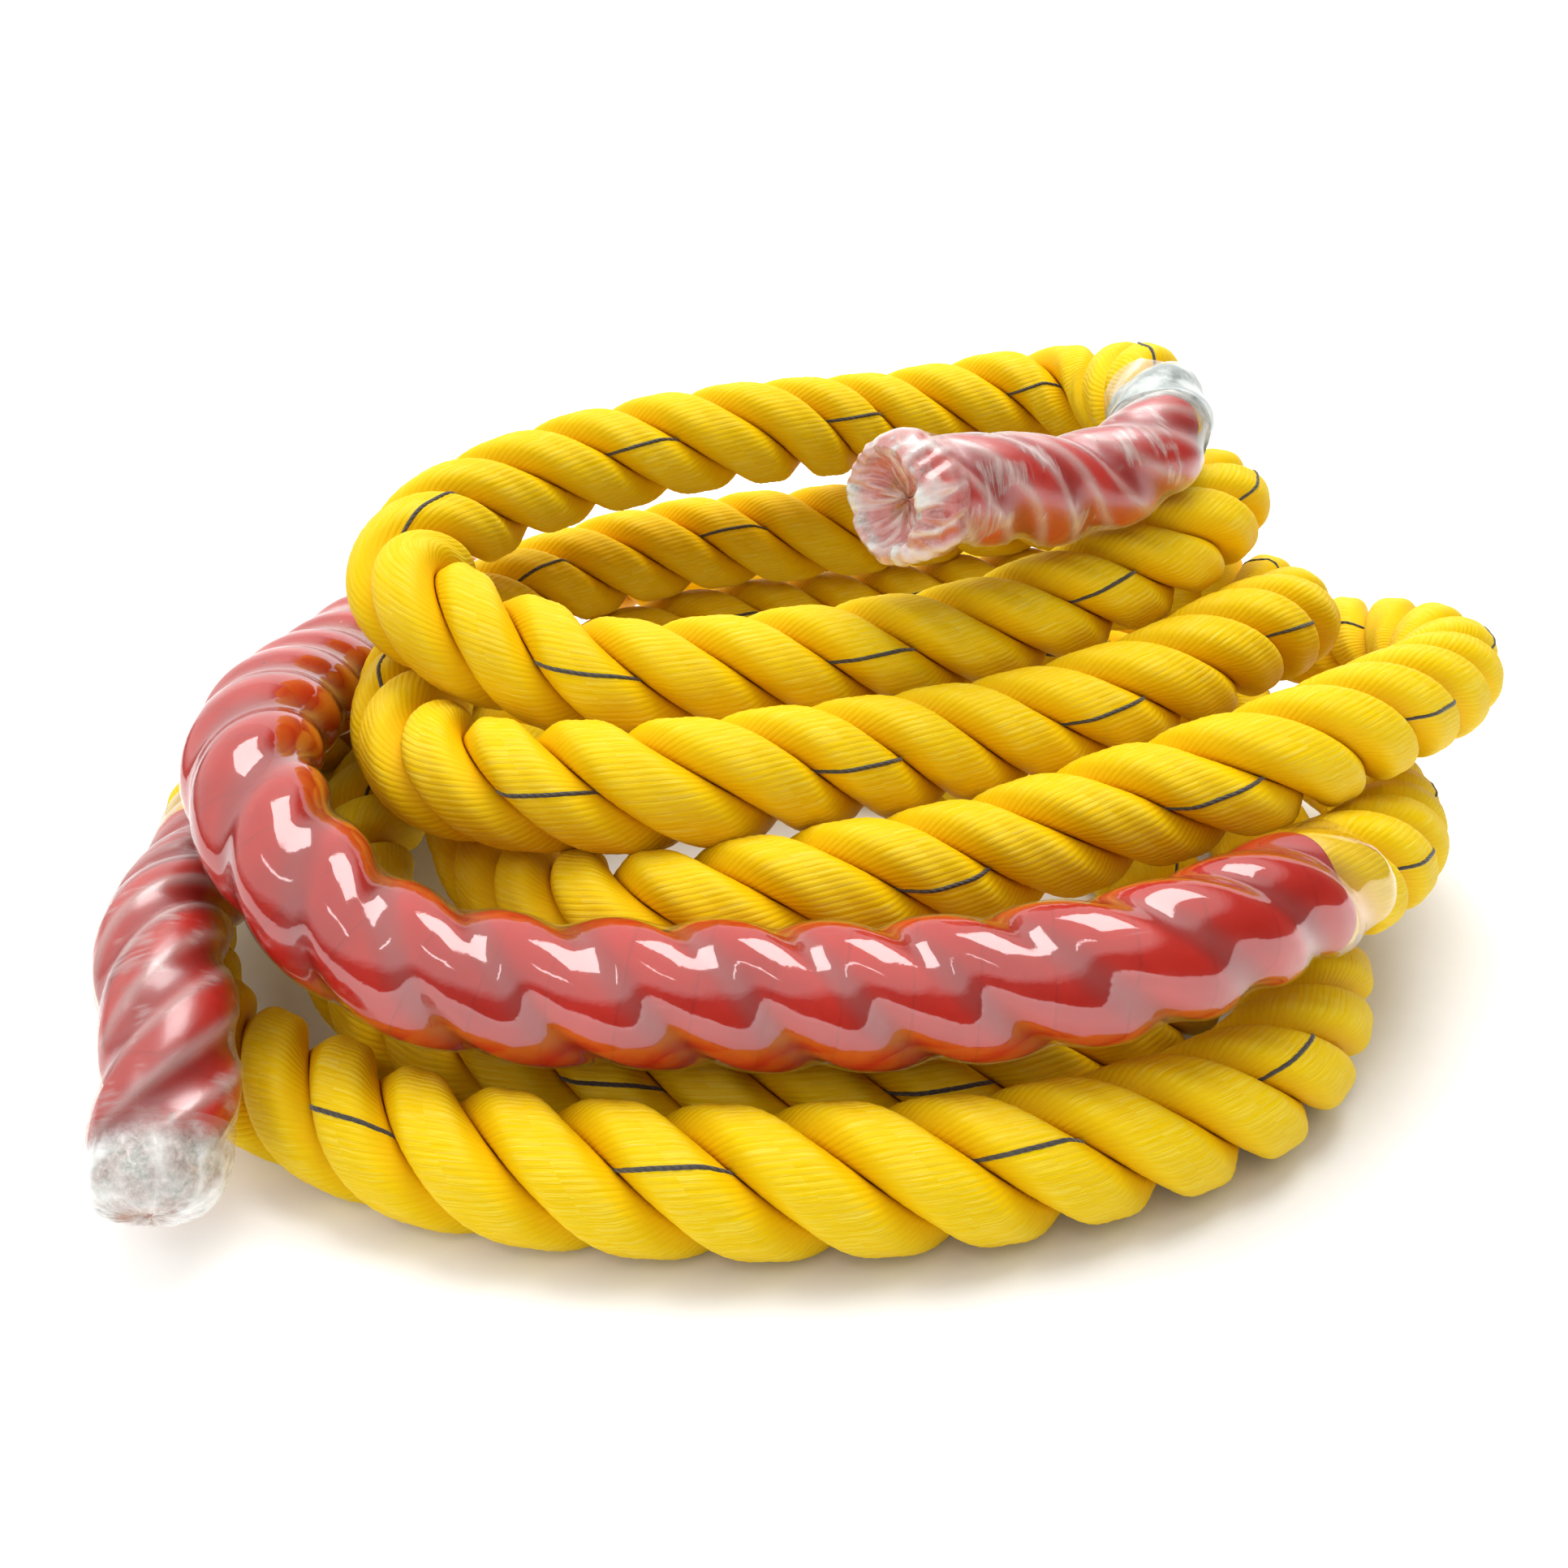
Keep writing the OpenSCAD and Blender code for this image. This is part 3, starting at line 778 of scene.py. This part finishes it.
def area(name, place, target, size, power, in_gloss=True):
    data = bpy.data.lights.new(name, "AREA")
    data.shape, data.size, data.energy = "SQUARE", size, power
    obj = bpy.data.objects.new(name, data)
    obj.location = place
    d = np.array(target, float) - np.array(place, float)
    obj.rotation_euler = (math.acos(-d[2] / np.linalg.norm(d)), 0, math.atan2(d[0], -d[1]))
    obj.visible_glossy = in_gloss
    bpy.context.scene.collection.objects.link(obj)


backdrop()
area("key", (-0.7, -1.2, 1.5), (0, 0, 0.08), 0.8, 11)
area("top", (0.2, 0.25, 1.9), (0, 0.1, 0.1), 1.2, 25)
area("front", (0.3, -2.2, 1.7), (0, 0.1, 0.2), 1.6, 72, False)

def studio():
    """Surroundings: gradient for reflections, plain white where the camera sees past the floor."""
    world = bpy.data.worlds.new("studio")
    world.use_nodes = True
    tree = world.node_tree
    link = tree.links.new
    surround = tree.nodes["Background"]
    surround.inputs[1].default_value = 1.15
    coord = tree.nodes.new("ShaderNodeTexCoord")
    sep = tree.nodes.new("ShaderNodeSeparateXYZ")
    ramp = tree.nodes.new("ShaderNodeValToRGB")
    link(coord.outputs["Generated"], sep.inputs[0])
    # brighter overhead and on the left, dark low in front and on the right
    lean = tree.nodes.new("ShaderNodeMath")
    lean.operation = "MULTIPLY_ADD"
    lean.inputs[1].default_value = -0.4
    link(sep.outputs[0], lean.inputs[0])
    link(sep.outputs[2], lean.inputs[2])
    link(lean.outputs[0], ramp.inputs[0])
    stops = ramp.color_ramp.elements
    stops[0].color = (0.06, 0.06, 0.06, 1)
    stops[1].color = (1, 1, 1, 1)
    for pos, grey in ((0.42, 0.12), (0.60, 0.95)):
        stops.new(pos).color = (grey, grey, grey, 1)
    link(ramp.outputs[0], surround.inputs[0])
    white = tree.nodes.new("ShaderNodeBackground")
    white.inputs[0].default_value = (1, 1, 1, 1)
    white.inputs[1].default_value = 1.1
    rays = tree.nodes.new("ShaderNodeLightPath")
    either = tree.nodes.new("ShaderNodeMixShader")
    link(rays.outputs["Is Camera Ray"], either.inputs[0])
    link(surround.outputs[0], either.inputs[1])
    link(white.outputs[0], either.inputs[2])
    link(either.outputs[0], tree.nodes["World Output"].inputs[0])
    bpy.context.scene.world = world


studio()
bpy.context.scene.view_settings.view_transform = "Standard"

# ---- what each piece is and rides on ----
for n, obj in enumerate(strands, 1):
    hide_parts(f"strand_{n}")
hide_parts("tracer_yarn")
for key, obj in tapes.items():
    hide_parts(key)
for key, obj in films.items():
    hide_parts(key)
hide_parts("grip_a_band")
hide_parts("grip_a_fold")
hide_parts("grip_b_fold")
on_rope = strands[1:] + [yarn, label, fold_a, fold_b] + list(tapes.values()) + list(films.values())
for obj in [strands[0]] + on_rope:
    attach(obj, "root")
